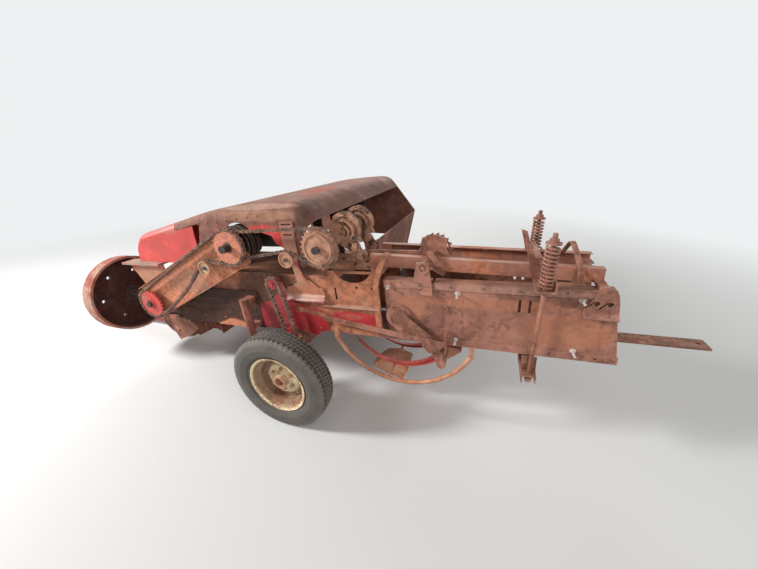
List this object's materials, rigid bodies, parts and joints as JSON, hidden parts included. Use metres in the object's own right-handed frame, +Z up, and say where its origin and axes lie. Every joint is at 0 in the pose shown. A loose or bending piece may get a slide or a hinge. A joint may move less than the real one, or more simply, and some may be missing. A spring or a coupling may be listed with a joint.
{
  "type": "square baler",
  "caption": "Old towed square hay baler: bale chamber with tension springs, twin knotters, chain drives, flywheel, hooded side feeder with pickup, two road wheels and a tongue.",
  "frame": {"origin": "on the ground, under the middle of the machine's outer box", "axes": "+X forward to the hitch, +Y to the machine's left, +Z up; the machine is parked nose down, with its hitch on the ground"},
  "size_m": [5.2062, 2.462, 1.4573],
  "materials": {
    "rust_brown": "rusted through to a brown scale",
    "dark_iron": "dark oily cast iron with rust",
    "faded_red": "faded red paint, chalky and rusting",
    "tan_rust": "tan rust on bare sheet",
    "bright_red": "red paint, partly bright",
    "chain_steel": "dry rusted roller chain",
    "tyre_rubber": "weathered grey rubber",
    "cream_rim": "yellowed cream paint with rust"
  },
  "bodies": {
    "chassis": {"chamber_side_left": "rust_brown", "chamber_side_right": "rust_brown", "chamber_floor": "rust_brown", "plunger_casing": "rust_brown", "plunger": "dark_iron", "front_frame": "rust_brown", "hanger": "rust_brown", "gearbox": "dark_iron", "drive_tray": "tan_rust", "small_sprocket": "faded_red", "big_sprocket": "faded_red", "main_chain": "chain_steel", "slip_clutch": "dark_iron", "clutch_chain": "chain_steel", "cross_shaft": "tan_rust", "side_plates": "bright_red", "down_chain": "chain_steel", "knotter_left": "dark_iron", "knotter_right": "dark_iron", "trip_linkage": "rust_brown", "top_rails": "rust_brown", "tension_frame": "rust_brown", "tension_rods": "rust_brown", "tension_springs": "rust_brown", "bale_hinge_plate": "rust_brown", "hitch_bar": "rust_brown", "needles": "bright_red", "needle_guard": "faded_red", "needle_linkage": "rust_brown", "hood": "faded_red", "front_cover": "bright_red", "feeder_deck": "faded_red", "packer_tines": "dark_iron", "axle_beam": "bright_red", "left_leg": "bright_red"},
    "left_wheel": {"left_tyre": "tyre_rubber", "left_rim": "cream_rim"},
    "right_wheel": {"right_tyre": "tyre_rubber", "right_rim": "cream_rim"},
    "flywheel": {"flywheel": "faded_red"},
    "tongue": {"tongue": "bright_red"},
    "star_wheel": {"star_wheel": "rust_brown"},
    "pickup": {"pickup_frame": "bright_red"},
    "reel": {"pickup_reel": "dark_iron"},
    "gauge_wheel": {"gauge_wheel": "tyre_rubber"}
  },
  "joints": [
    {"name": "left_wheel_spin", "type": "hinge", "parent": "chassis", "child": "left_wheel", "pos_m": [-0.27, 1.1435, 0.348], "axis": [0, 1, 0], "continuous": true},
    {"name": "right_wheel_spin", "type": "hinge", "parent": "chassis", "child": "right_wheel", "pos_m": [-0.27, -1.1435, 0.348], "axis": [0, 1, 0], "continuous": true},
    {"name": "flywheel_spin", "type": "hinge", "parent": "chassis", "child": "flywheel", "pos_m": [1.48309, 0.8315, 0.58561], "axis": [0.9971, 0, -0.0759], "continuous": true},
    {"name": "star_wheel_spin", "type": "hinge", "parent": "chassis", "child": "star_wheel", "pos_m": [-1.15697, 0.6715, 1.18574], "axis": [0, 1, 0], "continuous": true},
    {"name": "tongue_swing", "type": "hinge", "parent": "chassis", "child": "tongue", "pos_m": [0.91125, 0.5115, 0.18787], "axis": [0.0759, 0, 0.9971], "range_deg": [0, 24]},
    {"name": "pickup_lift", "type": "hinge", "parent": "chassis", "child": "pickup", "pos_m": [0.27355, -0.1585, 0.63758], "axis": [0, -1, 0], "range_deg": [0, 12]},
    {"name": "reel_spin", "type": "hinge", "parent": "pickup", "child": "reel", "pos_m": [0.5989, -0.1585, 0.43229], "axis": [0, 1, 0], "continuous": true},
    {"name": "gauge_wheel_spin", "type": "hinge", "parent": "pickup", "child": "gauge_wheel", "pos_m": [0.51873, -0.9785, 0.16961], "axis": [0, 1, 0], "continuous": true}
  ]
}
